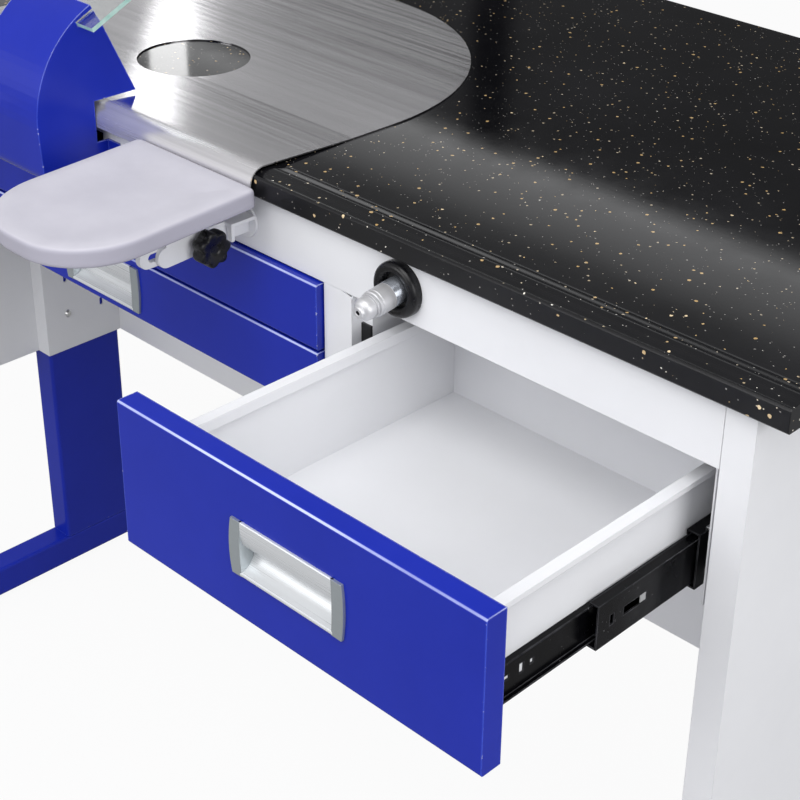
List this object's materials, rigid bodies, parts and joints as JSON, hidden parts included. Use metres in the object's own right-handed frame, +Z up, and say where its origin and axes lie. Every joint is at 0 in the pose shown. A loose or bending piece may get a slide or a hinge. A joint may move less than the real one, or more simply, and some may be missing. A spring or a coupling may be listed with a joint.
{
  "type": "laboratory bench",
  "caption": "Laboratory bench with a dark stone worktop, round steel work plate, suction hood with glass shield, padded arm rests, air nozzle, drawers and two legs.",
  "frame": {"origin": "on the floor, below the middle of the bounding box with the right drawer open as pictured", "axes": "+X to the bench's right end, +Y from the user towards the back, +Z up"},
  "size_m": [1.2, 0.8126, 0.9276],
  "materials": {
    "stone": "polished",
    "work_steel": "brushed along the bench",
    "white_paint": "smooth powder coat",
    "blue_paint": "gloss powder coat",
    "slide_black": "black zinc",
    "aluminium": "satin anodised with bright caps",
    "nozzle_metal": "satin turned",
    "zinc": "zinc plated",
    "pad_skin": "matt integral skin",
    "black_plastic": "fine texture",
    "black_rubber": "matt",
    "shield_glass": "clear with polished edges"
  },
  "bodies": {
    "bench": {"worktop": "stone", "work_plate": "work_steel", "plate_pads": "black_rubber", "apron": "white_paint", "right_end_panel": "white_paint", "left_end_panel": "white_paint", "cross_panel": "white_paint", "rear_rail": "white_paint", "top_props": "white_paint", "divider": "white_paint", "left_fascia": "white_paint", "right_sleeve": "white_paint", "left_sleeve": "white_paint", "sleeve_screws": "zinc", "right_post": "blue_paint", "left_post": "blue_paint", "right_foot": "blue_paint", "left_foot": "blue_paint", "foot_caps": "black_plastic", "foot_glides": "black_plastic", "right_slide_brackets": "white_paint", "middle_slide_brackets": "white_paint", "drawer_buffer": "black_rubber", "fixed_slides": "slide_black", "suction_hood": "blue_paint", "glass_shield": "shield_glass", "suction_duct": "black_plastic", "right_rest_base": "white_paint", "left_rest_base": "white_paint", "nozzle_ring": "black_plastic"},
    "right_slide_middles_body": {"right_slide_middles": "slide_black"},
    "right_drawer": {"right_drawer_box": "white_paint", "right_drawer_front": "blue_paint", "right_handle": "aluminium", "right_slide_inners": "slide_black"},
    "upper_slide_middles_body": {"upper_slide_middles": "slide_black"},
    "upper_drawer": {"upper_drawer_box": "white_paint", "upper_drawer_front": "blue_paint", "upper_handle": "aluminium", "upper_slide_inners": "slide_black"},
    "lower_slide_middles_body": {"lower_slide_middles": "slide_black"},
    "lower_drawer": {"lower_drawer_box": "white_paint", "lower_drawer_front": "blue_paint", "lower_handle": "aluminium", "lower_slide_inners": "slide_black"},
    "right_rest_clamp": {"right_rest_nut": "zinc"},
    "right_rest": {"right_rest_plate": "white_paint", "right_rest_pad": "pad_skin"},
    "right_knob": {"right_rest_knob": "black_plastic"},
    "left_rest_clamp": {"left_rest_nut": "zinc"},
    "left_rest": {"left_rest_plate": "white_paint", "left_rest_pad": "pad_skin"},
    "left_knob": {"left_rest_knob": "black_plastic"},
    "nozzle": {"air_nozzle": "nozzle_metal"}
  },
  "joints": [
    {"name": "right_drawer_slide", "type": "slide", "parent": "bench", "child": "right_drawer", "axis": [0, -1, 0], "range_m": [-0.211, 0.05]},
    {"name": "right_middles_slide", "type": "slide", "parent": "bench", "child": "right_slide_middles_body", "axis": [0, -1, 0], "range_m": [-0.1055, 0.025]},
    {"name": "upper_drawer_slide", "type": "slide", "parent": "bench", "child": "upper_drawer", "axis": [0, -1, 0], "range_m": [0, 0.25]},
    {"name": "upper_middles_slide", "type": "slide", "parent": "bench", "child": "upper_slide_middles_body", "axis": [0, -1, 0], "range_m": [0, 0.125]},
    {"name": "lower_drawer_slide", "type": "slide", "parent": "bench", "child": "lower_drawer", "axis": [0, -1, 0], "range_m": [0, 0.25]},
    {"name": "lower_middles_slide", "type": "slide", "parent": "bench", "child": "lower_slide_middles_body", "axis": [0, -1, 0], "range_m": [0, 0.125]},
    {"name": "right_rest_reach", "type": "slide", "parent": "bench", "child": "right_rest_clamp", "axis": [0, -1, 0], "range_m": [0, 0.04]},
    {"name": "right_rest_tilt", "type": "hinge", "parent": "right_rest_clamp", "child": "right_rest", "pos_m": [0.0455, -0.2387, 0.753], "axis": [1, 0, 0], "range_deg": [-1, 9.5]},
    {"name": "right_knob_turn", "type": "hinge", "parent": "right_rest_clamp", "child": "right_knob", "pos_m": [0.0455, -0.2387, 0.753], "axis": [1, 0, 0], "continuous": true},
    {"name": "left_rest_reach", "type": "slide", "parent": "bench", "child": "left_rest_clamp", "axis": [0, -1, 0], "range_m": [0, 0.04]},
    {"name": "left_rest_tilt", "type": "hinge", "parent": "left_rest_clamp", "child": "left_rest", "pos_m": [-0.3035, -0.2387, 0.753], "axis": [1, 0, 0], "range_deg": [-1, 9.5]},
    {"name": "left_knob_turn", "type": "hinge", "parent": "left_rest_clamp", "child": "left_knob", "pos_m": [-0.3035, -0.2387, 0.753], "axis": [1, 0, 0], "continuous": true},
    {"name": "nozzle_pull", "type": "slide", "parent": "bench", "child": "nozzle", "axis": [0, -0.9925, -0.1219], "range_m": [0, 0.02]}
  ],
  "couplings": [
    {"joint": "right_middles_slide", "follows": "right_drawer_slide", "ratio": 0.5},
    {"joint": "upper_middles_slide", "follows": "upper_drawer_slide", "ratio": 0.5},
    {"joint": "lower_middles_slide", "follows": "lower_drawer_slide", "ratio": 0.5}
  ]
}
